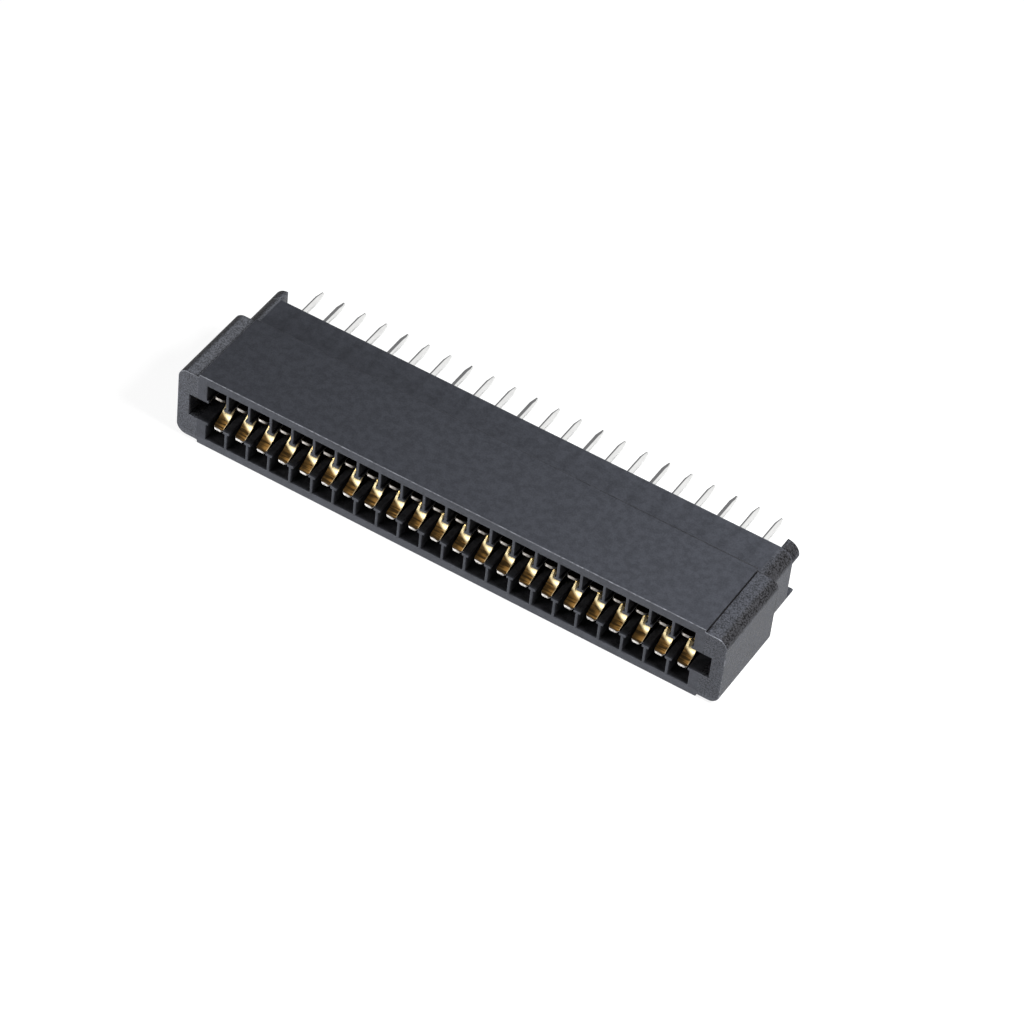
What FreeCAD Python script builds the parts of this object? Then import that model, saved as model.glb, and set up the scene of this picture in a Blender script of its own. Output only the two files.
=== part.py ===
import FreeCAD, Part
import math
import os

# Card edge connector, two rows of 22 contacts on a 2.54 mm pitch, straight solder tails.
# It lies on its long side: X runs along the slot, the slot opens towards -Y,
# the tails point to +Y and +Z is up. All sizes are in millimetres.

# Contact grid
positions = 22
pitch = 2.54
row_spacing = 5.08

# Card slot, measured from the slot face inwards
slot_height = 2.75
slot_depth = 8.5
slot_overrun = 2.05        # slot beyond the outermost contact cavity, at each end
end_wall = 1.4             # end of the slot to the end of the body

# Contact cavities and the T-shaped ribs between them
rib_thickness = 0.28
rib_flange_width = 0.75
rib_flange_height = 0.3
cavity_height = 2.275      # edge of the slot to the outer wall of the cavity
cavity_wall = 1.0          # outer wall of the cavity to the face of the pad
cavity_straight = 6.0      # depth at which the outer wall starts to close in
cavity_taper = 3.5         # length of that slope
cavity_depth = 12.0
rear_cavity_wall = 0.9     # outer wall of the cavity to the face of the rear block

# Front block with a raised pad on its top and bottom
front_depth = 10.0
front_corner_radius = 1.15
pad_raise = 0.35
pad_margin = 2.45          # end of the body to the end of the pad

# Rear block and its four standoff feet
rear_wall = 2.55           # back of the cavities to the rear face
rear_inset_ends = 0.9
rear_inset_faces = 0.5
rear_corner_radius = 1.45
foot_reach = 1.35          # rear face to the plane that sits on the board

# Contacts: one stamped and bent strip each
strip_thickness = 0.3
strip_width = 1.2
tip_depth = 0.45           # slot face to the tip
tip_offset = 2.12          # mid-plane to the middle of the tip
tip_width = 0.7
tip_corner = 0.15
flare_depth = 1.7          # where the lead-in turns steeper
flare_offset = 1.56
flare_radius = 2.0
crest_depth = 3.35         # where the straight runs before and after the crest would meet
crest_offset = 0.24
crest_radius = 1.6
root_depth = 9.0
root_radius = 2.0
retainer_clearance = 0.05  # beside the strip, where it passes the rear wall
retainer_gap = 0.03        # above and below the strip, in the same place
shank_inset = 0.6          # back of the cavity to where the strip widens to fill its slit
shank_slope = 0.35
shoulder_recess = 0.35     # rear face to the shoulder of the strip
tail_width = 0.64
tail_length = 3.1          # board plane to the end of the tail
tail_taper = 1.0
tail_end_width = 0.2

# Sizes that follow
cavity_width = pitch - rib_thickness
throat_width = pitch - rib_flange_width
cavity_span = positions * pitch - rib_thickness
half_slot_length = cavity_span / 2 + slot_overrun
half_length = half_slot_length + end_wall
half_slot = slot_height / 2
cavity_reach = half_slot + cavity_height
half_height = cavity_reach + cavity_wall
half_front = half_height - pad_raise
half_rear = half_front - rear_inset_faces
half_rear_length = half_length - rear_inset_ends
rear_cavity_reach = half_rear - rear_cavity_wall
rear_face = cavity_depth + rear_wall
seat_plane = rear_face + foot_reach
tail_end = seat_plane + tail_length
row_offset = row_spacing / 2
shank_depth = cavity_depth + shank_inset
shoulder_depth = rear_face - shoulder_recess
retainer_width = strip_width + 2 * retainer_clearance
retainer_height = strip_thickness + 2 * retainer_gap

# The model is drawn about its mid-plane with the slot face at Y = 0.
# The origin of the finished part is the middle of the face that it rests on.
placement = FreeCAD.Vector(0, -tail_end / 2, half_height)


def vec(x, y, z):
    return FreeCAD.Vector(x, y, z)


def block(x0, x1, y0, y1, z0, z1):
    """A box between two corners."""
    return Part.makeBox(x1 - x0, y1 - y0, z1 - z0, vec(x0, y0, z0))


def face_of(points):
    """A flat face inside a closed outline of straight edges."""
    return Part.Face(Part.makePolygon(points + [points[0]]))


def arc(start, middle, end):
    return Part.Arc(start, middle, end).toShape()


def line(start, end):
    return Part.LineSegment(start, end).toShape()


def rounded_block(half_x, half_z, radius, y0, y1):
    """A block along Y whose four long edges are rounded."""
    edges = []
    near = radius * (1 - math.sqrt(0.5))
    for sx, sz in ((1, 1), (1, -1), (-1, -1), (-1, 1)):
        on_side = vec(sx * half_x, y0, sz * (half_z - radius))
        on_arc = vec(sx * (half_x - near), y0, sz * (half_z - near))
        on_face = vec(sx * (half_x - radius), y0, sz * half_z)
        ends = (on_face, on_side) if sx == sz else (on_side, on_face)
        edges.append(arc(ends[0], on_arc, ends[1]))
    corners = list(edges)
    for first, second in zip(corners, corners[1:] + corners[:1]):
        edges.append(line(first.Vertexes[-1].Point, second.Vertexes[0].Point))
    outline = Part.Wire(Part.__sortEdges__(edges))
    return Part.Face(outline).extrude(vec(0, y1 - y0, 0))


def foot(sx, sz):
    """A quarter-round standoff that carries one corner of the rear block to the board."""
    radius = rear_corner_radius
    centre_x = sx * (half_rear_length - radius)
    centre_z = sz * (half_rear - radius)
    at_face = vec(centre_x, rear_face, sz * half_rear)
    at_end = vec(sx * half_rear_length, rear_face, centre_z)
    middle = vec(centre_x + sx * radius * math.sqrt(0.5), rear_face,
                 centre_z + sz * radius * math.sqrt(0.5))
    centre = vec(centre_x, rear_face, centre_z)
    outline = Part.Wire([line(centre, at_face), arc(at_face, middle, at_end), line(at_end, centre)])
    return Part.Face(outline).extrude(vec(0, foot_reach, 0))


def body():
    """The outside of the moulding, before anything is cored out of it."""
    shape = rounded_block(half_length, half_front, front_corner_radius, 0, front_depth)
    half_pad = half_length - pad_margin
    shape = shape.fuse([
        block(-half_pad, half_pad, 0, front_depth, -half_height, half_height),
        rounded_block(half_rear_length, half_rear, rear_corner_radius, 0, rear_face),
    ])
    return shape.fuse([foot(sx, sz) for sx in (-1, 1) for sz in (-1, 1)])


def cavity(x, side):
    """The room of one contact: a throat between the rib flanges, the cavity behind it
    with an outer wall that closes in towards the rear, and the slit in the rear wall."""
    inner = half_slot + rib_flange_height
    taper_end = cavity_straight + cavity_taper
    profile = [
        vec(x - cavity_width / 2, 0, side * inner),
        vec(x - cavity_width / 2, 0, side * cavity_reach),
        vec(x - cavity_width / 2, cavity_straight, side * cavity_reach),
        vec(x - cavity_width / 2, taper_end, side * rear_cavity_reach),
        vec(x - cavity_width / 2, cavity_depth, side * rear_cavity_reach),
        vec(x - cavity_width / 2, cavity_depth, side * inner),
    ]
    room = face_of(profile).extrude(vec(cavity_width, 0, 0))
    low, high = sorted((side * (half_slot - rib_flange_height), side * inner))
    throat = block(x - throat_width / 2, x + throat_width / 2, 0, slot_depth, low, high)
    middle = side * row_offset
    slit = block(x - retainer_width / 2, x + retainer_width / 2, cavity_depth, rear_face,
                 middle - retainer_height / 2, middle + retainer_height / 2)
    return [room, throat, slit]


def housing():
    """The one-piece moulded body with its card slot and a cavity for every contact."""
    cuts = [block(-half_slot_length, half_slot_length, 0, slot_depth, -half_slot, half_slot)]
    for x in contact_places():
        cuts += cavity(x, 1) + cavity(x, -1)
    return body().cut(cuts).removeSplitter()


def contact_places():
    first = -(positions - 1) * pitch / 2
    return [first + index * pitch for index in range(positions)]


def bend(before, corner, after, radius):
    """Where an arc of this radius leaves and joins the two straight runs at a corner."""
    run_in = (before - corner).normalize()
    run_out = (after - corner).normalize()
    half_angle = run_in.getAngle(run_out) / 2
    reach = radius / math.tan(half_angle)
    bisector = (run_in + run_out).normalize()
    centre = corner + bisector * (radius / math.sin(half_angle))
    return corner + run_in * reach, corner + run_out * reach, centre, -bisector


def strip_side(points, radii, offset):
    """One face of the bent strip, seen from its edge: straight runs and arcs that keep
    the same distance from the middle of the strip all the way."""
    edges = []
    start = points[0] + normal_of(points[0], points[1]) * offset
    for index in range(1, len(points) - 1):
        leave, join, centre, outward = bend(*points[index - 1:index + 2], radii[index - 1])
        side_in = normal_of(points[index - 1], points[index])
        side_out = normal_of(points[index], points[index + 1])
        grows = 1 if side_in.dot(outward) > 0 else -1
        arc_start = leave + side_in * offset
        arc_middle = centre + outward * (radii[index - 1] + grows * offset)
        arc_end = join + side_out * offset
        edges += [line(start, arc_start), arc(arc_start, arc_middle, arc_end)]
        start = arc_end
    end = points[-1] + normal_of(points[-2], points[-1]) * offset
    return edges + [line(start, end)]


def normal_of(start, end):
    """The direction square to a run, within the plane in which the strip is bent."""
    run = (end - start).normalize()
    return vec(0, -run.z, run.y)


def strip_outline():
    """The flat outline of the stamping, from its tip to the end of its tail."""
    half = strip_width / 2
    shank = retainer_width / 2
    right = [
        (tip_width / 2, tip_depth - strip_thickness / 2),
        (half, tip_depth + tip_corner),
        (half, shank_depth),
        (shank, shank_depth + shank_slope),
        (shank, shoulder_depth),
        (tail_width / 2, shoulder_depth),
        (tail_width / 2, tail_end - tail_taper),
        (tail_end_width / 2, tail_end),
    ]
    left = [(-x, y) for x, y in reversed(right)]
    return [vec(x, y, -half_height) for x, y in right + left]


def contact():
    """One contact of the upper row, at X = 0: the strip comes straight through the rear
    wall, leans in towards the card, turns over its crest and flares out to its tip."""
    route = [
        vec(0, tip_depth, tip_offset),
        vec(0, flare_depth, flare_offset),
        vec(0, crest_depth, crest_offset),
        vec(0, root_depth, row_offset),
        vec(0, tail_end, row_offset),
    ]
    radii = [flare_radius, crest_radius, root_radius]
    half = strip_thickness / 2
    outer = strip_side(route, radii, half)
    inner = strip_side(route, radii, -half)
    tip = line(outer[0].Vertexes[0].Point, inner[0].Vertexes[0].Point)
    tail = line(outer[-1].Vertexes[-1].Point, inner[-1].Vertexes[-1].Point)
    profile = Part.Wire(Part.__sortEdges__(outer + [tail] + inner + [tip]))
    reach = retainer_width
    strip = Part.Face(profile).extrude(vec(2 * reach, 0, 0))
    strip.translate(vec(-reach, 0, 0))
    blank = face_of(strip_outline()).extrude(vec(0, 0, 2 * half_height))
    return strip.common(blank).removeSplitter()


def save(shape, name):
    """Write one node at its place in the finished part."""
    if shape.ShapeType != "Solid":
        shape = shape.Solids[0]
    shape = shape.copy()
    shape.translate(placement)
    shape.exportStep("parts/" + name + ".step")


def main():
    os.makedirs("parts", exist_ok=True)
    save(housing(), "housing")
    upper = contact()
    lower = upper.mirror(vec(0, 0, 0), vec(0, 0, 1))
    for index, x in enumerate(contact_places()):
        for row, shape in (("upper", upper), ("lower", lower)):
            copy = shape.copy()
            copy.translate(vec(x, 0, 0))
            save(copy, "contact_%s_%02d" % (row, index + 1))


main()
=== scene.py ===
import bpy
import math
import numpy as np
from mathutils import Matrix, Vector
from mathutils.geometry import tessellate_polygon


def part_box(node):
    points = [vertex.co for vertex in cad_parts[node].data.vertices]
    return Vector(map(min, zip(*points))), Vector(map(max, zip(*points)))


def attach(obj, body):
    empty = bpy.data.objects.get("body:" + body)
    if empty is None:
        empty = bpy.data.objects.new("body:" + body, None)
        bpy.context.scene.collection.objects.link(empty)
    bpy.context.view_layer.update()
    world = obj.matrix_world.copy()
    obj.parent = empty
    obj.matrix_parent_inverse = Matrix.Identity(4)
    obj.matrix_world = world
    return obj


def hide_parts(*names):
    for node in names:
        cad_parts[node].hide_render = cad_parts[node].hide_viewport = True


bl_info = {
    "name": "Card Edge Connector",
    "version": (1, 0, 0),
    "blender": (4, 5, 0),
    "location": "View3D > Sidebar > Connector",
    "description": "Dresses a card edge connector: moulded body, plated contacts and a plain studio",
    "category": "Object",
}

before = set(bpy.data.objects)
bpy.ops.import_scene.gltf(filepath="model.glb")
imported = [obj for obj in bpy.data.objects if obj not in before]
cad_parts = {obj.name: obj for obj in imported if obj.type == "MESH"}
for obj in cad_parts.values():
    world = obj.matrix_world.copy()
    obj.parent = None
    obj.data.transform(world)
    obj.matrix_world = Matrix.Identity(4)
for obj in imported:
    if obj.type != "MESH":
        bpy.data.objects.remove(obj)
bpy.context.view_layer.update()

MM = 0.001
BODY_LOW, BODY_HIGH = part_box("housing")
SLOT_FACE = BODY_LOW.y
SEAT_PLANE = BODY_HIGH.y
MID_PLANE = (BODY_LOW.z + BODY_HIGH.z) / 2
HALF_LENGTH = (BODY_HIGH.x - BODY_LOW.x) / 2
HALF_HEIGHT = (BODY_HIGH.z - BODY_LOW.z) / 2
UPPER_NODES = sorted(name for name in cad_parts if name.startswith("contact_upper"))
LOWER_NODES = sorted(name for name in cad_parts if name.startswith("contact_lower"))
CONTACT_BOXES = [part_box(name) for name in UPPER_NODES]
CONTACT_PLACES = np.array([(low.x + high.x) / 2 for low, high in CONTACT_BOXES])
PITCH = float(CONTACT_PLACES[1] - CONTACT_PLACES[0])
TAIL_END = CONTACT_BOXES[0][1].y

# The materials read a mark from every point. On the body 0 is plain plastic, a mark up to 1 is worn
# pale, partly as a painted highlight, and one below 0 has painted shade.
IN_SLOT = -0.7
IN_CAVITY = -1.0
ON_CORNER = -1.12
IN_HOLLOW = -1.5
# On a contact the tail's marks run from 0 on its right to 1 on its left, where it has painted shade,
# and the spring's from -1 to -2 on the side that faces the card, with painted shade towards -2 and a
# painted highlight at -1; its outer side has painted shade too. The cut end of the tip is painted
# dimmer in the upper row, as shade.
OUTER_SIDE = -2.5
SHADED_CUT = -2.7
CUT = -3.0
# Radii from a rounded edge at the back of a block to where its mark has faded, and from the mouth
# of the openings to where the full shade inside them starts
EDGE_FADE = 3
MOUTH_FADE = 6
# Steps of the arc in each corner of the opening
OPENING_STEPS = 3

# The plastic is coarse on the shoulders at its ends: the distances from the ends at which the
# coarse grain starts and is full, and the share of it on the broad sides
SHOULDER_START = 2.5 * MM
SHOULDER_FULL = 2.3 * MM
FINE_GRAIN = 0.16

# Scales of the noises in the materials, in features per metre
CLOUDS = 1200.0
BLOTCHES = 1400.0
SPECKS = 1500.0
DRAWN_LINES = 4500.0
PITS = 5000.0
GRAIN = 6000.0
ROLLED_LINES = 9000.0

# Every third tail, from the second on, has painted shade over more of its width: that share is added.
SHADE_EVERY = 3
SHADE_FIRST = 1
SHADE_SHARE = 0.28

# The soft lights: place, size and power in metres and watts, and whether each is only mirrored
LIGHTS = {
    "right_light": ((0.075, 0.0, 0.095), 0.05, 0.232, False),
    "front_light": ((-0.17, -0.20, 0.010), 0.15, 1.85, False),
    "mirrored_light": ((-0.135, -0.150, 0.234), 0.28, 0.44, True),
}
# The camera's film in mm, and the nearest distance that it sees
FILM_WIDTH = 36.0
NEAREST = 0.01
# Half the floor's length, the strength of its glow, and its share where the floor is seen
FLOOR_REACH = 3.0
FLOOR_GLOW = 1.2
GLOW_SHARE = 0.7


def length_property(name, description, default):
    """A size in metres, shown in the scene's length unit."""
    return bpy.props.FloatProperty(
        name=name, description=description, default=default,
        precision=5, unit="LENGTH", subtype="DISTANCE",
    )


def colour_property(name, description, default):
    """A colour in linear red, green and blue."""
    return bpy.props.FloatVectorProperty(
        name=name, description=description, default=default,
        size=3, min=0.0, max=1.0, subtype="COLOR",
    )


def share_property(name, description, default):
    """A share from 0 to 1."""
    return bpy.props.FloatProperty(
        name=name, description=description, default=default,
        min=0.0, max=1.0, subtype="FACTOR",
    )


def angle_property(name, description, degrees):
    """An angle, given in degrees and kept in radians."""
    return bpy.props.FloatProperty(
        name=name, description=description, default=math.radians(degrees),
        unit="ROTATION", subtype="ANGLE",
    )


class ConnectorBodySizes(bpy.types.PropertyGroup):
    """Sizes of the moulded body, each from the slot face or the mid-plane of the part."""

    slot_height: length_property("Slot Height", "Gap that the card enters", 2.75 * MM)
    slot_depth: length_property("Slot Depth", "Slot face to the bottom of the slot", 8.5 * MM)
    end_wall: length_property("End Wall", "End of the slot to the end of the body", 1.4 * MM)
    cavity_width: length_property("Cavity Width", "Width of one contact cavity", 2.26 * MM)
    cavity_wall: length_property("Cavity Wall", "Outer wall of a cavity to the pad", 1.0 * MM)
    cavity_depth: length_property("Cavity Depth", "Slot face to the back of a cavity", 12.0 * MM)
    taper_start: length_property("Taper Start", "Depth where a cavity starts to close in", 6.0 * MM)
    taper_length: length_property("Taper Length", "Length of that slope", 3.5 * MM)
    rear_reach: length_property("Rear Reach", "Mid-plane to the outer wall behind a slope", 2.9 * MM)
    throat_width: length_property("Throat Width", "Gap between the flanges of two ribs", 1.79 * MM)
    flange_height: length_property("Flange Height", "Height of a rib's flange", 0.3 * MM)
    flange_round: length_property("Flange Rounding", "Radius on the slot side of a flange", 0.06 * MM)
    inner_round: length_property("Inner Rounding", "Radius in the corners of the cavities", 0.05 * MM)
    mouth_round: length_property("Mouth Rounding", "Radius round the slot and cavities", 0.06 * MM)
    front_depth: length_property("Front Depth", "Length of the wide front block", 10.0 * MM)
    front_corner: length_property("Front Corner", "Radius along the front block's corners", 1.15 * MM)
    pad_raise: length_property("Pad Raise", "Height of the raised pads", 0.35 * MM)
    pad_margin: length_property("Pad Margin", "End of the body to the end of a pad", 2.45 * MM)
    edge_round: length_property("Edge Rounding", "Radius on the outer edges", 0.1 * MM)
    rear_face: length_property("Rear Face", "Slot face to the rear face", 14.55 * MM)
    rear_inset_ends: length_property("Rear Inset Ends", "Front to rear block at each end", 0.9 * MM)
    rear_inset_faces: length_property("Rear Inset Faces", "The same above and below", 0.5 * MM)
    rear_corner: length_property("Rear Corner", "Radius along the rear block's corners", 1.45 * MM)
    slit_width: length_property("Slit Width", "Width of the slit that holds a contact", 1.3 * MM)
    slit_height: length_property("Slit Height", "Height of that slit", 0.36 * MM)


class ConnectorContactSizes(bpy.types.PropertyGroup):
    """Sizes of one contact strip, each from the slot face or the mid-plane of the part."""

    thickness: length_property("Thickness", "Thickness of the strip", 0.3 * MM)
    width: length_property("Width", "Width of the strip", 1.2 * MM)
    tip_depth: length_property("Tip Depth", "Slot face to the tip", 0.45 * MM)
    tip_offset: length_property("Tip Offset", "Mid-plane to the middle of the tip", 2.12 * MM)
    tip_width: length_property("Tip Width", "Width of the tip between its cut corners", 0.69 * MM)
    tip_corner: length_property("Tip Corner", "Length of the cut corners", 0.3 * MM)
    flare_depth: length_property("Flare Depth", "Where the lead-in turns steeper", 1.7 * MM)
    flare_offset: length_property("Flare Offset", "Mid-plane to the strip at the flare", 1.56 * MM)
    flare_radius: length_property("Flare Radius", "Bend radius at the flare", 2.0 * MM)
    crest_depth: length_property("Crest Depth", "Where the runs about the crest would meet", 3.35 * MM)
    crest_offset: length_property("Crest Offset", "Mid-plane to that meeting point", 0.24 * MM)
    crest_radius: length_property("Crest Radius", "Bend radius of the crest", 1.6 * MM)
    root_depth: length_property("Root Depth", "Where the beam turns straight", 9.0 * MM)
    root_radius: length_property("Root Radius", "Bend radius at the root", 2.0 * MM)
    row_offset: length_property("Row Offset", "Mid-plane to the middle of the tails", 2.54 * MM)
    shank_depth: length_property("Shank Depth", "Where the strip widens to fill its slit", 12.6 * MM)
    shank_slope: length_property("Shank Slope", "Length over which it widens", 0.35 * MM)
    shank_width: length_property("Shank Width", "Width of the strip in its slit", 1.3 * MM)
    shoulder_depth: length_property("Shoulder Depth", "Slot face to the shoulder", 14.2 * MM)
    tail_width: length_property("Tail Width", "Width of the solder tail", 0.64 * MM)
    tail_taper: length_property("Tail Taper", "Length of the pointed end", 1.0 * MM)
    tail_end_width: length_property("Tail End Width", "Width of the tail's blunt end", 0.2 * MM)
    edge_round: length_property("Edge Rounding", "Radius on the strip's edges", 0.05 * MM)


class ConnectorFinishes(bpy.types.PropertyGroup):
    """Colours and roughness of the moulded plastic and of the two platings, with the painted light and
    shade on them.
    """

    plastic: colour_property("Plastic", "Moulded plastic", (0.033, 0.035, 0.042))
    # Painted shade: the same plastic, darkened inside the slot and the cavities
    plastic_in_shade: colour_property("Inner Plastic", "Plastic inside the slot", (0.018, 0.018, 0.020))
    # Pale plastic for the worn edges, partly a painted highlight, and for painted light from the floor
    # along the foot of the slot face
    plastic_worn_and_lit: colour_property("Worn Plastic", "Rubbed edges of the plastic", (0.26, 0.27, 0.30))
    gold: colour_property("Gold", "Plating of the contact springs", (1.0, 0.81, 0.47))
    # Painted reflection: the gold in front of the first bend, darkened to brown where it mirrors dark
    # surroundings
    lead_in_dim_reflection: colour_property("Lead-in", "Drawn gold in front of the first bend", (0.40, 0.215, 0.06))
    # Painted shade on the lead-in's left side, on the springs' outer side and behind their bend, and
    # the lead-in's dark lines
    lead_in_dark: colour_property(
        "Dark Lead-in", "Its left side and lines, and springs in shade", (0.022, 0.014, 0.006)
    )
    cut_edge: colour_property("Cut Edge", "Stamped end and cut corners of the tip", (0.48, 0.46, 0.44))
    tin: colour_property("Tin", "Plating of the solder tails", (0.80, 0.80, 0.79))
    # Painted shade on the left side of the tails
    tin_in_shade: colour_property("Dull Tin", "Left side of the tails", (0.11, 0.11, 0.115))
    plastic_roughness: share_property("Plastic Roughness", "Roughness of the plastic", 0.46)
    gold_roughness: share_property("Gold Roughness", "Roughness of the gold", 0.26)
    tin_roughness: share_property("Tin Roughness", "Roughness of the tin", 0.30)


class ConnectorStage(bpy.types.PropertyGroup):
    """Camera and light of the plain studio."""

    azimuth: angle_property("Azimuth", "Camera's turn round the part, from its front", 27.049)
    elevation: angle_property("Elevation", "Camera's height over the part", 45.418)
    roll: angle_property("Roll", "Camera's turn about its own line of sight", 6.685)
    distance: length_property("Distance", "Camera to the point that it looks at", 440.26 * MM)
    target: bpy.props.FloatVectorProperty(
        name="Target", description="Point that the camera looks at", size=3,
        default=(2.799 * MM, -1.131 * MM, 2.403 * MM), subtype="TRANSLATION",
    )
    lens: bpy.props.FloatProperty(
        name="Lens", description="Focal length on a 36 mm wide film",
        default=158.19, unit="CAMERA",
    )
    backdrop: colour_property("Backdrop", "Colour behind the part", (1.0, 1.0, 1.0))
    floor: colour_property("Floor", "Colour of the floor", (0.86, 0.86, 0.86))
    world_light: bpy.props.FloatProperty(
        name="World Light", description="Strength of the light from all round",
        default=0.18, min=0.0,
    )


def fillet(corners, radii, steps):
    """Rounds a closed outline. corners is (n, 2) and radii (n,). Each corner becomes an arc of
    steps + 1 points: its centre lies on the bisector at radius / sin(half angle), and its points
    are the two tangent directions blended by equal angles about that centre."""
    before = np.roll(corners, 1, axis=0) - corners
    after = np.roll(corners, -1, axis=0) - corners
    before /= np.linalg.norm(before, axis=1, keepdims=True)
    after /= np.linalg.norm(after, axis=1, keepdims=True)
    half = np.arccos(np.clip((before * after).sum(1), -1, 1)) / 2
    radii = np.asarray(radii, float)
    reach = (radii / np.tan(half))[:, None]
    bisector = before + after
    bisector /= np.linalg.norm(bisector, axis=1, keepdims=True)
    centre = corners + bisector * (radii / np.sin(half))[:, None]
    start = corners + before * reach - centre
    end = corners + after * reach - centre
    sweep = (math.pi - 2 * half)[:, None, None]
    share = np.linspace(0, 1, steps + 1)[None, :, None]
    from_start = np.sin((1 - share) * sweep) * start[:, None]
    from_end = np.sin(share * sweep) * end[:, None]
    arcs = (from_start + from_end) / np.sin(sweep)
    return (centre[:, None] + arcs).reshape(-1, 2)


def moved_out(outline, distance):
    """A closed outline with every side moved to its right by the same distance: each point goes
    along the sum of its two side normals, divided by one plus their product."""
    sides = np.roll(outline, -1, axis=0) - outline
    sides /= np.linalg.norm(sides, axis=1, keepdims=True)
    normals = np.stack([sides[:, 1], -sides[:, 0]], axis=1)
    before = np.roll(normals, 1, axis=0)
    together = 1 + (before * normals).sum(1, keepdims=True)
    return outline + distance * (before + normals) / together


def placed(outline, depth):
    """Outline points (x, height over the mid-plane) at a depth behind the slot face."""
    points = np.empty((len(outline), 3))
    points[:, 0] = outline[:, 0]
    points[:, 1] = SLOT_FACE + depth
    points[:, 2] = MID_PLANE + outline[:, 1]
    return points


def quarter(radius, steps):
    """Pairs (depth, inset) of a rounded edge: depth radius * (1 - cos), inset radius * (1 - sin)."""
    turn = np.linspace(0, math.pi / 2, steps + 1)
    return np.stack([radius * (1 - np.cos(turn)), radius * (1 - np.sin(turn))], axis=1)


class Surface:
    """A mesh put together from closed rings of points, walls between rings and flat fills."""

    def __init__(self):
        self.points = []
        self.faces = []
        self.marks = []
        self.count = 0

    def ring(self, points, mark=0.0):
        """Adds points and gives their indices, in the shape of the array without its last axis.
        mark is the mark of them all, or one for each."""
        flat = np.asarray(points, float).reshape(-1, 3)
        self.points.append(flat)
        indices = np.arange(self.count, self.count + len(flat)).reshape(np.shape(points)[:-1])
        self.marks.append(np.broadcast_to(mark, indices.shape).ravel())
        self.count += len(flat)
        return indices

    def wall(self, front, back):
        """Quads between two rings, or between two stacks of rings, facing out of an outline that
        runs anticlockwise seen from the front."""
        next_front, next_back = np.roll(front, -1, axis=-1), np.roll(back, -1, axis=-1)
        quads = np.stack([front, back, next_back, next_front], axis=-1)
        self.faces += quads.reshape(-1, 4).tolist()

    def walls(self, rings):
        """Walls from each ring to the next."""
        for front, back in zip(rings[:-1], rings[1:]):
            self.wall(front, back)

    def fill(self, rings, facing):
        """A flat face inside the first ring and outside the others, turned towards facing."""
        points = np.concatenate(self.points)
        indices = np.concatenate(rings)
        loops = [[Vector(point) for point in points[ring] / MM] for ring in rings]
        triangles = indices[np.array(tessellate_polygon(loops))]
        a, b, c = points[triangles[:, 0]], points[triangles[:, 1]], points[triangles[:, 2]]
        backwards = np.cross(b - a, c - a) @ np.asarray(facing, float) < 0
        triangles[backwards] = triangles[backwards][:, ::-1]
        self.faces += triangles.tolist()

    def build(self, name):
        """The finished object, shaded smooth with the flat sides kept flat."""
        mesh = bpy.data.meshes.new(name)
        mesh.from_pydata(np.concatenate(self.points).tolist(), [], self.faces)
        mesh.validate()
        mark = mesh.attributes.new("mark", "FLOAT", "POINT")
        mark.data.foreach_set("value", np.concatenate(self.marks).astype(np.float32))
        return finished(name, mesh)


def finished(name, mesh):
    """Puts a mesh into the scene at the origin, with normals that keep its broad sides flat."""
    mesh.polygons.foreach_set("use_smooth", np.ones(len(mesh.polygons), bool))
    piece = bpy.data.objects.new(name, mesh)
    bpy.context.scene.collection.objects.link(piece)
    flat_sides = piece.modifiers.new("Flat Sides", "WEIGHTED_NORMAL")
    flat_sides.weight = 100
    flat_sides.keep_sharp = False
    return piece


def edge_rings(surface, outline, face, inwards, radius, marks):
    """Rings round a rounded edge of an outline, from front to back, one for each mark. face is the
    depth of the face that it bounds, and inwards is 1 where the plastic lies behind that face and
    -1 where it lies in front of it."""
    steps = quarter(radius, len(marks) - 1)[::inwards]
    return [surface.ring(placed(moved_out(outline, -inset), face + inwards * depth), mark)
            for (depth, inset), mark in zip(steps, marks)]


def front_outline(sizes):
    """The front block: a rounded rectangle with a raised pad above and below, anticlockwise, and the
    marks of its points, which paint shade into its corners and the hollows at the ends of the pads."""
    x, z = HALF_LENGTH, HALF_HEIGHT - sizes.pad_raise
    pad_x, pad_z = HALF_LENGTH - sizes.pad_margin, HALF_HEIGHT
    half = np.array([(x, -z), (x, z), (pad_x, z), (pad_x, pad_z), (-pad_x, pad_z), (-pad_x, z)])
    corners = np.concatenate([half, -half])
    hollow, edge = sizes.edge_round * 1.2, sizes.edge_round * 0.8
    radii = [sizes.front_corner, sizes.front_corner, hollow, edge, edge, hollow] * 2
    steps = 10
    shade = np.zeros((len(corners), steps + 1))
    shade[[2, 5, 8, 11], 1:-1] = IN_HOLLOW
    shade[[0, 1, 6, 7]] = round_shade(steps)
    return fillet(corners, radii, steps), shade.ravel()


def round_shade(steps):
    """Marks of the steps + 1 points round a corner: half a sine wave, darkest in its middle."""
    return ON_CORNER * np.sin(np.linspace(0, math.pi, steps + 1))


def rear_outline(sizes):
    """The rear block: a rounded rectangle, anticlockwise, with the marks of its points."""
    x = HALF_LENGTH - sizes.rear_inset_ends
    z = HALF_HEIGHT - sizes.pad_raise - sizes.rear_inset_faces
    corners = np.array([(x, -z), (x, z), (-x, z), (-x, -z)], float)
    steps = 12
    shade = np.tile(round_shade(steps), len(corners))
    return fillet(corners, [sizes.rear_corner] * len(corners), steps), shade


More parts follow.
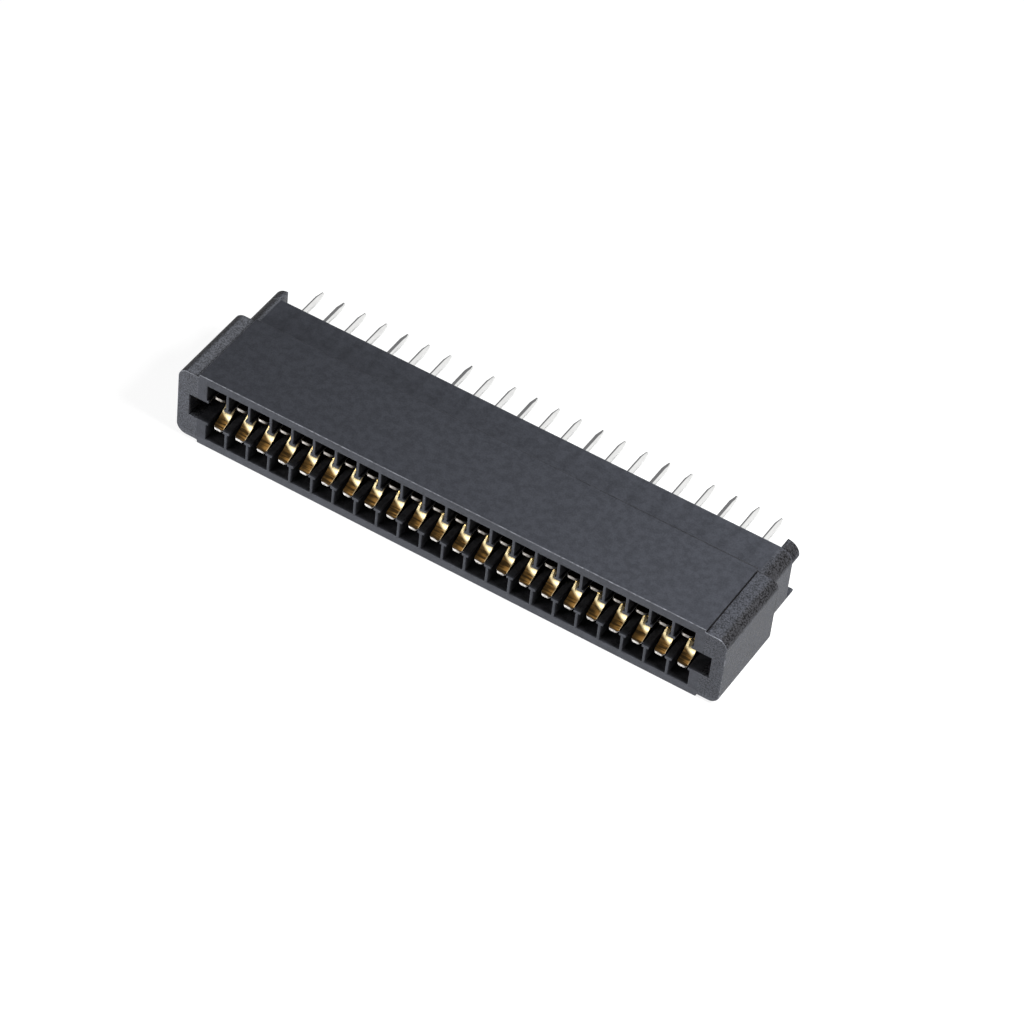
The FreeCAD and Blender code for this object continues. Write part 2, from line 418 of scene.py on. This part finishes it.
def opening_corners(sizes, reach):
    """Corners of the opening in the slot face, clockwise from the top left end of the slot: the
    slot's edge and, at every contact, a throat between two flanges with the cavity behind it. The
    lower half is the upper half turned half a turn about the middle."""
    slot_x = HALF_LENGTH - sizes.end_wall
    slot_z = sizes.slot_height / 2
    flange_z = slot_z + sizes.flange_height
    throat, cavity = sizes.throat_width / 2, sizes.cavity_width / 2
    across = np.array([-throat, -throat, -cavity, -cavity, cavity, cavity, throat, throat])
    up = np.array([slot_z, flange_z, flange_z, reach, reach, flange_z, flange_z, slot_z])
    x = CONTACT_PLACES[:, None] + across
    cavities = np.stack([x, np.broadcast_to(up, x.shape)], axis=2).reshape(-1, 2)
    half = np.concatenate([[(-slot_x, slot_z)], cavities, [(slot_x, slot_z)]])
    return np.concatenate([half, -half])


def opening_outline(sizes, reach):
    """The opening with an arc in every corner, as (corner, point of its arc, 2)."""
    inner, flange = sizes.inner_round, sizes.flange_round
    back = flange * 0.65
    one = [flange, back, inner, inner, inner, inner, back, flange]
    half = [inner] + one * len(CONTACT_PLACES) + [inner]
    corners = opening_corners(sizes, reach)
    arcs = fillet(corners, half + half, OPENING_STEPS)
    return arcs.reshape(len(corners), OPENING_STEPS + 1, 2)


def inner_shade():
    """Marks of the opening's points inside the body, where the slot is lighter than the cavities."""
    one = [IN_SLOT] + [IN_CAVITY] * 6 + [IN_SLOT]
    half = [IN_SLOT] + one * len(CONTACT_PLACES) + [IN_SLOT]
    return np.repeat(half + half, OPENING_STEPS + 1)


def cavity_loops(opening):
    """From the opening's (corner, arc point) array, the closed loop of every cavity, without its
    throat: one row per cavity."""
    halves = opening.reshape((2, -1) + opening.shape[1:])[:, 1:-1]
    cavities = halves.reshape((2 * len(CONTACT_PLACES), 8) + opening.shape[1:])
    middle = cavities[:, 2:6].reshape((len(cavities), -1) + opening.shape[2:])
    return np.concatenate([cavities[:, 1, -1:], middle, cavities[:, 6, :1]], axis=1)


def slot_floor_loop(opening_ring):
    """The opening's ring without its cavities: the slot and the throats."""
    halves = opening_ring.reshape(2, -1, opening_ring.shape[1])
    cavities = halves[:, 1:-1].reshape(2, len(CONTACT_PLACES), 8, -1)
    throats = cavities[:, :, [0, 1, 6, 7]].reshape(2, -1)
    return np.concatenate([halves[:, 0], throats, halves[:, -1]], axis=1).reshape(-1)


def slit_corners(sizes, offset):
    """Corners of every slit in the rear wall, clockwise: one row per contact."""
    across = np.array([-1, 1, 1, -1]) * sizes.slit_width / 2
    up = np.array([1, 1, -1, -1]) * sizes.slit_height / 2
    upper_x = CONTACT_PLACES[:, None] + across
    upper = np.stack([upper_x, np.broadcast_to(offset + up, upper_x.shape)], axis=2)
    return np.concatenate([upper, -upper])


def outer_skin(surface, sizes):
    """Walls of the front and rear blocks, with rounded edges that are worn pale, partly as a painted
    highlight, at the slot face and the rear face, and that have painted shade at the step between the
    blocks, more so towards its right end.
    Returns the ring that bounds the slot face and the one that bounds the rear face."""
    edge, back, rear_face = sizes.edge_round, sizes.front_depth, sizes.rear_face
    outline, shade = front_outline(sizes)
    rings = edge_rings(surface, outline, 0.0, 1, edge, [0.0, 0.7, 1.0, 0.7, shade])
    rings.append(surface.ring(placed(outline, back - EDGE_FADE * edge), shade))
    to_right = 0.6 + 0.4 * outline[:, 0] / HALF_LENGTH
    marks = [mark * to_right for mark in (-0.8, -1.0, -1.0, -0.6, 0.0)]
    rings += edge_rings(surface, outline, back, -1, edge, marks)
    surface.walls(rings)
    outline, shade = rear_outline(sizes)
    rear = [surface.ring(placed(outline, depth), shade)
            for depth in (back, rear_face - EDGE_FADE * edge)]
    marks = [mark + shade * 0.5 for mark in (0.4, 0.7, 0.7, 0.0)]
    rear += edge_rings(surface, outline, rear_face, -1, edge * 0.8, marks)
    surface.walls(rear)
    surface.fill([rings[-1], rear[0]], (0, 1, 0))
    return rings[0], rear[-1]


def contact_cavities(surface, sizes, offset):
    """Walls of the slot, the cavities and the slits. Returns the ring in the slot face and the
    slits' rings in the rear face."""
    reach = HALF_HEIGHT - sizes.cavity_wall
    taper_end = sizes.taper_start + sizes.taper_length
    slope, reaches = [sizes.taper_start, taper_end], [reach, sizes.rear_reach]
    reach_at_floor = np.interp(sizes.slot_depth, slope, reaches)
    outline = opening_outline(sizes, reach).reshape(-1, 2)
    # The rounded mouth is worn pale, partly as a painted highlight, and painted shade fills the
    # openings behind it
    rings = edge_rings(surface, outline, 0.0, 1, sizes.mouth_round, (0.0, 0.4, 0.4, 0.0))
    shade = inner_shade()
    for depth in (MOUTH_FADE * sizes.mouth_round, sizes.taper_start):
        rings.append(surface.ring(placed(outline, depth), shade))
    at_floor = opening_outline(sizes, reach_at_floor)
    rings.append(surface.ring(placed(at_floor.reshape(-1, 2), sizes.slot_depth), shade))
    surface.walls(rings)
    floor_ring = rings[-1].reshape(at_floor.shape[:2])
    surface.fill([slot_floor_loop(floor_ring)], (0, -1, 0))
    loops = [cavity_loops(floor_ring[..., None])[..., 0]]
    rear = cavity_loops(opening_outline(sizes, sizes.rear_reach))
    for depth in (taper_end, sizes.cavity_depth):
        points = placed(rear.reshape(-1, 2), depth).reshape(rear.shape[:2] + (3,))
        loops.append(surface.ring(points, IN_CAVITY))
    surface.walls(loops)
    slits = slit_corners(sizes, offset)
    slit_rings = []
    for depth in (sizes.cavity_depth, sizes.rear_face):
        points = placed(slits.reshape(-1, 2), depth).reshape(slits.shape[:2] + (3,))
        slit_rings.append(surface.ring(points, IN_CAVITY if depth < sizes.rear_face else 0.0))
    surface.walls(slit_rings)
    for cavity_ring, slit_ring in zip(loops[-1], slit_rings[0]):
        surface.fill([cavity_ring, slit_ring], (0, -1, 0))
    return rings[0], list(slit_rings[1])


def standoff_foot(surface, sizes, side_x, side_z):
    """A quarter-round foot: a quarter disc carried back from the rear face, its end rounded."""
    radius, edge = sizes.rear_corner, sizes.edge_round
    centre = np.array([HALF_LENGTH - sizes.rear_inset_ends - radius,
                       HALF_HEIGHT - sizes.pad_raise - sizes.rear_inset_faces - radius])
    steps = 12
    turn = np.linspace(0, math.pi / 2, steps + 1)
    arc = centre + radius * np.stack([np.cos(turn), np.sin(turn)], axis=1)
    outline = np.concatenate([[centre], arc]) * (side_x, side_z)
    shade = np.concatenate([[0], round_shade(steps)])
    if side_x != side_z:
        outline, shade = outline[::-1], shade[::-1]
    rings = [surface.ring(placed(outline, sizes.rear_face - edge * 0.8), shade)]
    # The foot's rounded end is worn pale, partly as a painted highlight, and its arc has painted shade
    marks = [shade, 0.4 + shade, 0.5 + shade, 0.0]
    rings += edge_rings(surface, outline, SEAT_PLANE - SLOT_FACE, -1, edge * 0.6, marks)
    surface.walls(rings)
    surface.fill([rings[0]], (0, -1, 0))
    surface.fill([rings[-1]], (0, 1, 0))


def strip_line(sizes):
    """The middle line of a contact: straight runs joined by arcs. Returns the distance along the
    line, its points (depth, height over the mid-plane) and its slope angle at each."""
    corners = np.array([
        (sizes.tip_depth, sizes.tip_offset),
        (sizes.flare_depth, sizes.flare_offset),
        (sizes.crest_depth, sizes.crest_offset),
        (sizes.root_depth, sizes.row_offset),
        (TAIL_END - SLOT_FACE, sizes.row_offset),
    ])
    steps = 12
    radii = [sizes.flare_radius, sizes.crest_radius, sizes.root_radius]
    bends = fillet(corners, [MM] + radii + [MM], steps).reshape(len(corners), steps + 1, 2)[1:-1]
    line = np.concatenate([corners[:1], bends.reshape(-1, 2), corners[-1:]])
    runs = np.diff(corners, axis=0)
    slopes = np.arctan2(runs[:, 1], runs[:, 0])
    turning = np.linspace(slopes[:-1], slopes[1:], steps + 1, axis=1).reshape(-1)
    angles = np.concatenate([slopes[:1], turning, slopes[-1:]])
    lengths = np.linalg.norm(np.diff(line, axis=0), axis=1)
    return np.concatenate([[0], np.cumsum(lengths)]), line, angles


def strip_widths(sizes):
    """Half widths of the stamped strip against depth, from its tip to the end of its tail."""
    end = TAIL_END - SLOT_FACE
    just_past = sizes.shoulder_depth + 0.002 * MM
    table = np.array([
        (sizes.tip_depth, sizes.tip_width),
        (sizes.tip_depth + sizes.tip_corner, sizes.width),
        (sizes.shank_depth, sizes.width),
        (sizes.shank_depth + sizes.shank_slope, sizes.shank_width),
        (sizes.shoulder_depth, sizes.shank_width),
        (just_past, sizes.tail_width),
        (end - sizes.tail_taper, sizes.tail_width),
        (end, sizes.tail_end_width),
    ])
    return table[:, 0], table[:, 1] / 2


def strip_stations(sizes):
    """The cross-sections of a contact: the depth of each, its height over the mid-plane, its slope
    angle, its half width and its half thickness. Both ends are drawn in by the edge rounding."""
    distance, line, angles = strip_line(sizes)
    depths, half_widths = strip_widths(sizes)
    keys = np.interp(depths, line[:, 0], distance)
    ends = [sizes.edge_round, distance[-1] - sizes.edge_round]
    stations = np.unique(np.round(np.concatenate([distance, keys, ends]), 9))
    depth = np.interp(stations, distance, line[:, 0])
    height = np.interp(stations, distance, line[:, 1])
    angle = np.interp(stations, distance, angles)
    drawn_in = np.zeros(len(stations))
    drawn_in[[0, -1]] = sizes.edge_round * 0.7
    half_width = np.interp(depth, depths, half_widths) - drawn_in
    return depth, height, angle, half_width, sizes.thickness / 2 - drawn_in


def strip_marks(sizes, depth, leftness, is_outer, is_edge, side, shade_share):
    """The marks of a contact's points, one row for each cross-section. is_outer says which points face
    away from the card and is_edge which lie on the strip's edges. A shade share is added to the tail's
    marks, so that painted shade covers more of it. The tip's end and corners are marked as cut."""
    is_tail = (depth > sizes.shoulder_depth)[:, None]
    spring = np.where(is_outer, OUTER_SIDE, -1 - leftness)
    marks = np.where(is_tail, leftness + shade_share, spring)
    # The upper row's cut end is painted dimmer, as shade
    cut, cut_rows = (SHADED_CUT, 1) if side > 0 else (CUT, 2)
    marks[:cut_rows] = cut
    in_corner = depth < sizes.tip_depth + sizes.tip_corner + 0.01 * MM
    marks[np.ix_(in_corner, is_edge)] = cut
    return marks


def strip_surface(sizes, place, side, shade_share):
    """A rounded rectangle carried along the strip's line: across the line it spans the strip's
    width at that depth, and square to the line its thickness. side is 1 for the upper row and -1
    for the lower, which is the upper turned over. Both ends are closed."""
    depth, height, angle, half_width, half_thickness = strip_stations(sizes)
    radius = np.minimum(sizes.edge_round, half_width * 0.9)
    degrees = np.array([0, 45, 90, 90, 135, 180, 180, 225, 270, 270, 315, 360])
    turn = np.radians(degrees)
    corner = np.repeat([(1, 1), (-1, 1), (-1, -1), (1, -1)], 3, axis=0)
    across = (half_width - radius)[:, None] * corner[:, 0] + radius[:, None] * np.cos(turn)
    square = (half_thickness - radius)[:, None] * corner[:, 1] + radius[:, None] * np.sin(turn)
    points = np.empty(across.shape + (3,))
    points[..., 0] = place + across
    points[..., 1] = SLOT_FACE + depth[:, None] - square * np.sin(angle)[:, None]
    points[..., 2] = MID_PLANE + side * (height[:, None] + square * np.cos(angle)[:, None])
    leftness = 0.5 - 0.5 * across / half_width[:, None]
    is_edge = degrees % 180 == 0
    marks = strip_marks(sizes, depth, leftness, square > 0, is_edge, side, shade_share)
    if side < 0:
        points, marks = points[:, ::-1], marks[:, ::-1]
    surface = Surface()
    rings = list(surface.ring(points, marks))
    surface.walls(rings)
    surface.faces.append(rings[0].tolist())
    surface.faces.append(rings[-1][::-1].tolist())
    return surface


class Look:
    """Adds shader nodes to a new material or world."""

    def __init__(self, owner):
        self.owner = owner
        owner.use_nodes = True
        owner.node_tree.nodes.clear()

    def node(self, kind, inputs=None, **settings):
        """Adds a node. inputs maps a socket's name or number to a value or to another socket."""
        tree = self.owner.node_tree
        made = tree.nodes.new(kind)
        for name, value in settings.items():
            setattr(made, name, value)
        for name, value in (inputs or {}).items():
            if isinstance(value, bpy.types.NodeSocket):
                tree.links.new(value, made.inputs[name])
            else:
                made.inputs[name].default_value = value
        return made

    def maths(self, operation, *values):
        """The result of an operation on values or sockets."""
        return self.node("ShaderNodeMath", dict(enumerate(values)), operation=operation).outputs[0]

    def ranged(self, value, low, high, to_low=0.0, to_high=1.0):
        """value from low to high, carried smoothly onto to_low to to_high."""
        inputs = {
            "Value": value, "From Min": low, "From Max": high, "To Min": to_low, "To Max": to_high,
        }
        made = self.node("ShaderNodeMapRange", inputs, interpolation_type="SMOOTHSTEP")
        return made.outputs["Result"]

    def blended(self, share, first, second):
        """The first colour where share is 0 and the second where it is 1."""
        inputs = {"Factor": share, 6: first, 7: second}
        return self.node("ShaderNodeMix", inputs, data_type="RGBA").outputs[2]

    def noise(self, place, scale, detail=3.0, roughness=0.55):
        """A noise about 0.5, with its scale in features per metre."""
        inputs = {"Vector": place, "Scale": scale, "Detail": detail, "Roughness": roughness}
        return self.node("ShaderNodeTexNoise", inputs).outputs["Fac"]

    def seen_directly(self, rays):
        """1 for a light path's rays from the camera and from glossy surfaces."""
        return self.maths("MAXIMUM", rays.outputs["Is Camera Ray"], rays.outputs["Is Glossy Ray"])

    def ended(self, shader, kind="ShaderNodeOutputMaterial"):
        """Links a shader to the tree's output and gives the finished material or world."""
        self.node(kind, {"Surface": shader.outputs[0]})
        return self.owner


class PieceLook(Look):
    """A new material for a piece, with what its colours depend on: the place in the frame of the
    part, its three coordinates, and the mark of the mesh."""

    def __init__(self, name):
        super().__init__(bpy.data.materials.new(name))
        self.place = self.node("ShaderNodeTexCoord").outputs["Object"]
        parts = self.node("ShaderNodeSeparateXYZ", {0: self.place}).outputs
        self.along, self.depth, self.height = parts["X"], parts["Y"], parts["Z"]
        self.mark = self.node("ShaderNodeAttribute", attribute_name="mark").outputs["Fac"]

    def stretched(self, across, along):
        """The place scaled along X and Y, which draws a noise out where the scale is small."""
        inputs = {"Vector": self.place, "Scale": (across, along, 1.0)}
        return self.node("ShaderNodeMapping", inputs).outputs[0]

    def behind_face(self, start, end, to_low=0.0, to_high=1.0):
        """A value that changes between two depths behind the slot face."""
        return self.ranged(self.depth, SLOT_FACE + start, SLOT_FACE + end, to_low, to_high)


def rgba(colour, strength=1.0):
    """An opaque colour, scaled and kept at 1 or below."""
    return tuple(min(1.0, channel * strength) for channel in colour) + (1.0,)


def plastic_tone(look):
    """The lightness of the plastic about 0.5, its grain, and how coarse it is. It is coarse at the
    ends and the slot face and fine on the broad sides, and the rear block waves over its cavities."""
    from_middle = look.maths("ABSOLUTE", look.along)
    shoulder = HALF_LENGTH - SHOULDER_START, HALF_LENGTH - SHOULDER_FULL
    at_ends = look.ranged(from_middle, *shoulder, FINE_GRAIN, 1.0)
    at_front = look.behind_face(0.0, 0.4 * MM, 0.25, 0.0)
    coarse = look.maths("MAXIMUM", at_ends, at_front)
    grain = look.ranged(look.noise(look.place, GRAIN, 1.5, 0.5), 0.34, 0.66, -0.3, 0.3)
    clouds = look.ranged(look.noise(look.place, CLOUDS), 0.35, 0.65, -0.07, 0.07)
    tone = look.maths("MULTIPLY_ADD", grain, coarse, clouds)
    turn_rate = 2 * math.pi / PITCH
    phase = look.maths("MULTIPLY_ADD", look.along, turn_rate, -turn_rate * CONTACT_PLACES[0])
    wave = look.ranged(look.maths("COSINE", phase), -0.2, 0.9, 0.05, -0.02)
    sunk = look.maths("MULTIPLY", wave, look.behind_face(10.0 * MM, 10.6 * MM))
    tone = look.maths("ADD", look.maths("ADD", tone, sunk), 0.5)
    return tone, grain, coarse


def plastic_wear_and_light(look, grain):
    """How far the plastic is made pale: worn pale, partly as a painted highlight, on its marked edges,
    a little lighter on the left shoulder, and with painted light from the floor along the foot of the
    slot face."""
    specks = look.ranged(look.noise(look.place, SPECKS, 5.0, 0.7), 0.40, 0.68, 0.25, 1.0)
    rubbed_and_lit = look.maths("MULTIPLY", specks, look.ranged(look.mark, 0.1, 1.0, 0.0, 0.6))
    # The left shoulder is a little lighter
    shoulder = SHOULDER_FULL - HALF_LENGTH, SHOULDER_START - HALF_LENGTH
    at_left = look.ranged(look.along, *shoulder, 0.28, 0.0)
    at_left = look.maths("MULTIPLY", at_left, look.behind_face(0.0, 0.3 * MM, 0.2))
    at_left = look.maths("MULTIPLY", at_left, look.ranged(look.mark, IN_SLOT, 0.0))
    rubbed_and_lit = look.maths("MULTIPLY_ADD", at_left, look.maths("ADD", grain, 0.7), rubbed_and_lit)
    # Painted light from the floor along the foot of the slot face
    low_strip = look.ranged(look.height, MID_PLANE - 3.9 * MM, MID_PLANE - 3.6 * MM, 0.06, 0.0)
    on_front = look.behind_face(0.0, 0.3 * MM, 1.0, 0.0)
    return look.maths("MULTIPLY_ADD", low_strip, on_front, rubbed_and_lit)


def moulded_plastic(finishes):
    """Dark glass-filled plastic with grain and clouds in its colour. Inside the body, on its rounded
    corners and in the hollows it has painted shade and is less glossy, and its outer edges are worn
    pale, partly as a painted highlight."""
    look = PieceLook("moulded_plastic")
    tone, grain, coarse = plastic_tone(look)
    outside = look.blended(tone, rgba(finishes.plastic, 0.2), rgba(finishes.plastic, 1.8))
    speckled = look.ranged(tone, 0.2, 0.8)
    # Painted shade inside the body and on its rounded corners
    inner = finishes.plastic_in_shade
    inside = look.blended(speckled, rgba(inner, 0.2), rgba(inner, 1.8))
    colour = look.blended(look.ranged(look.mark, IN_CAVITY, 0.0), inside, outside)
    # Painted shade: the hollows at the pads' ends, and a little the rounded corners, darken towards
    # black
    in_hollow = look.ranged(look.mark, IN_HOLLOW, IN_CAVITY, 0.9, 0.0)
    colour = look.blended(in_hollow, colour, rgba((0.0, 0.0, 0.0)))
    colour = look.blended(plastic_wear_and_light(look, grain), colour, rgba(finishes.plastic_worn_and_lit))
    gloss = look.ranged(coarse, FINE_GRAIN, FINE_GRAIN + 0.08, 0.05, 0.15)
    gloss = look.maths("MINIMUM", gloss, look.ranged(look.mark, IN_CAVITY, 0.0, 0.06, 0.15))
    rough = finishes.plastic_roughness
    bump = {"Height": tone, "Strength": 0.8, "Distance": 0.05 * MM}
    return look.ended(look.node("ShaderNodeBsdfPrincipled", {
        "Base Color": colour,
        "Roughness": look.ranged(tone, 0.2, 0.8, rough - 0.06, rough + 0.1),
        "Specular IOR Level": gloss,
        "Normal": look.node("ShaderNodeBump", bump).outputs[0],
    }))


def lead_in_colour(look, finishes):
    """Gold in front of the first bend, painted brown as a dim reflection: with painted shade towards
    its left side, drawn in dark lines across the strip, and with a painted highlight along its right
    side."""
    dark = rgba(finishes.lead_in_dark)
    # Painted shade towards the lead-in's left side
    to_left = look.ranged(look.mark, -1.75, -0.9, 0.87, 0.1)
    colour = look.blended(to_left, rgba(finishes.lead_in_dim_reflection), dark)
    lines = look.ranged(look.noise(look.stretched(0.1, 1.0), DRAWN_LINES), 0.42, 0.58, 0.0, 0.88)
    colour = look.blended(lines, colour, dark)
    # Painted highlight along the lead-in's right side
    right_line = look.ranged(look.mark, -1.1, -1.0, 0.0, 0.7)
    return look.blended(right_line, colour, rgba(finishes.gold))


def spring_shade(look):
    """How dark a spring is: all of its outer side, and the side towards the card from behind its
    bright band, which reaches further back along its left edge."""
    left_edge = look.ranged(look.mark, -1.94, -1.70, 0.9 * MM, 0.0)
    past_band = look.maths("SUBTRACT", look.depth, left_edge)
    shade = look.ranged(past_band, SLOT_FACE + 1.9 * MM, SLOT_FACE + 2.2 * MM, 0.0, 0.9)
    return look.maths("MAXIMUM", shade, look.ranged(look.mark, -2.35, -2.15, 1.0, 0.0))


def plated_metal(finishes):
    """Gold on the spring and tin on the tail. The spring is painted brown up to its first bend as a
    dim reflection, plain gold along the bend and in painted shade behind it, and its tip shows the cut
    metal. The tail has faint rolling lines along it and painted shade on its left side."""
    look = PieceLook("plated_metal")
    blotches = look.noise(look.place, BLOTCHES)
    rolled = look.noise(look.stretched(1.0, 0.08), ROLLED_LINES)
    # The painted dim reflection of the lead-in gives way to plain gold on a slant across the strip
    slant = look.maths("MULTIPLY_ADD", look.maths("ADD", look.mark, 1.0), 0.65 * MM, look.depth)
    bright = look.ranged(slant, SLOT_FACE + 1.3 * MM, SLOT_FACE + 1.75 * MM)
    gold = look.blended(blotches, rgba(finishes.gold, 0.9), rgba(finishes.gold, 1.05))
    gold = look.blended(bright, lead_in_colour(look, finishes), gold)
    gold = look.blended(spring_shade(look), gold, rgba(finishes.lead_in_dark))
    pitted = look.ranged(look.noise(look.place, PITS, 2.0), 0.35, 0.6)
    cut = look.blended(pitted, rgba(finishes.cut_edge, 0.6), rgba(finishes.cut_edge))
    is_cut = look.ranged(look.mark, -2.95, OUTER_SIDE, 1.0, 0.0)
    gold = look.blended(is_cut, gold, cut)
    tin = look.blended(blotches, rgba(finishes.tin, 0.88), rgba(finishes.tin, 1.08))
    # Painted shade on the tail's left side
    shaded_left = look.ranged(look.mark, 0.66, 0.78, 0.0, 0.92)
    tin = look.blended(shaded_left, tin, rgba(finishes.tin_in_shade))
    tinned = look.behind_face(10.5 * MM, 11.5 * MM)
    rough = finishes.gold_roughness
    spring_rough = look.ranged(bright, 0.0, 1.0, rough + 0.25, rough)
    tail_rough = look.ranged(tinned, 0.0, 1.0, 0.0, finishes.tin_roughness)
    roughness = look.maths("MAXIMUM", spring_rough, tail_rough)
    bump = {"Height": rolled, "Strength": 0.12, "Distance": 0.006 * MM}
    return look.ended(look.node("ShaderNodeBsdfPrincipled", {
        "Base Color": look.blended(tinned, gold, tin),
        "Roughness": look.maths("ADD", roughness, look.ranged(rolled, 0.2, 0.8, -0.05, 0.07)),
        "Metallic": look.ranged(is_cut, 0.0, 1.0, 1.0, 0.25),
        "Normal": look.node("ShaderNodeBump", bump).outputs[0],
    }))


class CONNECTOR_OT_moulded_body(bpy.types.Operator):
    """Make the moulded body: both blocks, the pads, the slot with its cavities, and the feet"""

    bl_idname = "connector.moulded_body"
    bl_label = "Moulded Body"

    def execute(self, context):
        sizes = context.scene.connector_body
        surface = Surface()
        front, rear = outer_skin(surface, sizes)
        opening, slits = contact_cavities(surface, sizes, context.scene.connector_contact.row_offset)
        surface.fill([front, opening], (0, -1, 0))
        surface.fill([rear] + slits, (0, 1, 0))
        for side_x in (-1, 1):
            for side_z in (-1, 1):
                standoff_foot(surface, sizes, side_x, side_z)
        body = surface.build("moulded_body")
        body.data.materials.append(moulded_plastic(context.scene.connector_finishes))
        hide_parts("housing")
        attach(body, "root")
        return {"FINISHED"}


class CONNECTOR_OT_contacts(bpy.types.Operator):
    """Make both rows of plated contacts, each a bent strip with its solder tail"""

    bl_idname = "connector.contacts"
    bl_label = "Contacts"

    def execute(self, context):
        sizes = context.scene.connector_contact
        metal = plated_metal(context.scene.connector_finishes)
        for nodes, side in ((UPPER_NODES, 1), (LOWER_NODES, -1)):
            for index, (name, place) in enumerate(zip(nodes, CONTACT_PLACES)):
                shade_share = SHADE_SHARE if index % SHADE_EVERY == SHADE_FIRST else 0.0
                surface = strip_surface(sizes, place, side, shade_share)
                strip = surface.build(name.replace("contact", "strip"))
                strip.data.materials.append(metal)
                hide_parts(name)
                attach(strip, "root")
        return {"FINISHED"}


def soft_lamp(name, place, size, power, only_mirrored):
    """A square soft light that faces the middle of the part. One that is only mirrored shows in
    glossy surfaces and lights no matt ones."""
    lamp = bpy.data.lights.new(name, "AREA")
    lamp.size = size
    lamp.energy = power
    lit = bpy.data.objects.new(name, lamp)
    lit.location = place
    lit.visible_diffuse = not only_mirrored
    aim = Vector((0.0, 0.0, MID_PLANE)) - Vector(place)
    lit.rotation_euler = aim.to_track_quat("-Z", "Y").to_euler()
    bpy.context.scene.collection.objects.link(lit)


def plain_world(stage):
    """Even light from all round, with the pale backdrop for the camera and for reflections."""
    look = Look(bpy.data.worlds.new("studio"))
    rays = look.node("ShaderNodeLightPath")
    seen = look.maths("MAXIMUM", look.seen_directly(rays), rays.outputs["Is Transmission Ray"])
    even = look.node("ShaderNodeBackground", {"Strength": stage.world_light})
    pale = look.node("ShaderNodeBackground", {"Color": rgba(stage.backdrop), "Strength": 1.0})
    mixed = look.node("ShaderNodeMixShader", {0: seen, 1: even.outputs[0], 2: pale.outputs[0]})
    return look.ended(mixed, "ShaderNodeOutputWorld")


def pale_floor(stage):
    """A floor that keeps the part's shadow and otherwise fades into the backdrop."""
    look = Look(bpy.data.materials.new("pale_floor"))
    seen = look.seen_directly(look.node("ShaderNodeLightPath"))
    matt = look.node("ShaderNodeBsdfDiffuse", {"Color": rgba(stage.floor)})
    pale = look.node("ShaderNodeEmission", {"Color": rgba(stage.backdrop), "Strength": FLOOR_GLOW})
    share = look.maths("MULTIPLY", seen, GLOW_SHARE)
    mixed = look.node("ShaderNodeMixShader", {0: share, 1: matt.outputs[0], 2: pale.outputs[0]})
    mesh = bpy.data.meshes.new("floor")
    corners = [(x * FLOOR_REACH, y * FLOOR_REACH, 0) for x, y in ((-1, -1), (1, -1), (1, 1), (-1, 1))]
    mesh.from_pydata(corners, [], [(0, 1, 2, 3)])
    mesh.materials.append(look.ended(mixed))
    floor = bpy.data.objects.new("floor", mesh)
    bpy.context.scene.collection.objects.link(floor)
    return floor


def aimed_camera(stage):
    """A camera at a distance from its target, turned by azimuth and elevation, then rolled."""
    camera = bpy.data.cameras.new("camera")
    camera.lens = stage.lens
    camera.sensor_width = FILM_WIDTH
    camera.clip_start = NEAREST
    target = Matrix.Translation(Vector(stage.target))
    turned = Matrix.Rotation(stage.azimuth, 4, "Z")
    tilted = Matrix.Rotation(math.pi / 2 - stage.elevation, 4, "X")
    rolled = Matrix.Rotation(stage.roll, 4, "Z")
    eye = bpy.data.objects.new("camera", camera)
    eye.matrix_world = target @ turned @ tilted @ rolled @ Matrix.Translation((0, 0, stage.distance))
    bpy.context.scene.collection.objects.link(eye)
    return eye


class CONNECTOR_OT_stage(bpy.types.Operator):
    """Make the floor, the lights, the backdrop and the camera"""

    bl_idname = "connector.stage"
    bl_label = "Stage"

    def execute(self, context):
        scene = context.scene
        stage = scene.connector_stage
        pale_floor(stage)
        scene.world = plain_world(stage)
        for name, light in LIGHTS.items():
            soft_lamp(name, *light)
        scene.camera = aimed_camera(stage)
        scene.view_settings.view_transform = "Standard"
        return {"FINISHED"}


class CONNECTOR_PT_panel(bpy.types.Panel):
    """Lists the connector's steps and sizes"""

    bl_idname = "CONNECTOR_PT_panel"
    bl_label = "Card Edge Connector"
    bl_space_type = "VIEW_3D"
    bl_region_type = "UI"
    bl_category = "Connector"

    def draw(self, context):
        for operator in OPERATORS:
            self.layout.operator(operator.bl_idname)
        for name in PROPERTIES:
            box = self.layout.box()
            group = getattr(context.scene, name)
            for key in group.bl_rna.properties.keys():
                if key not in ("rna_type", "name"):
                    box.prop(group, key)


PROPERTIES = {
    "connector_body": ConnectorBodySizes,
    "connector_contact": ConnectorContactSizes,
    "connector_finishes": ConnectorFinishes,
    "connector_stage": ConnectorStage,
}
OPERATORS = (CONNECTOR_OT_moulded_body, CONNECTOR_OT_contacts, CONNECTOR_OT_stage)


def register():
    for name, group in PROPERTIES.items():
        bpy.utils.register_class(group)
        setattr(bpy.types.Scene, name, bpy.props.PointerProperty(type=group))
    for made in OPERATORS + (CONNECTOR_PT_panel,):
        bpy.utils.register_class(made)


def unregister():
    for made in reversed(OPERATORS + (CONNECTOR_PT_panel,)):
        bpy.utils.unregister_class(made)
    for name, group in reversed(PROPERTIES.items()):
        delattr(bpy.types.Scene, name)
        bpy.utils.unregister_class(group)


def main():
    register()
    bpy.ops.connector.moulded_body()
    bpy.ops.connector.contacts()
    bpy.ops.connector.stage()


if __name__ == "__main__":
    main()
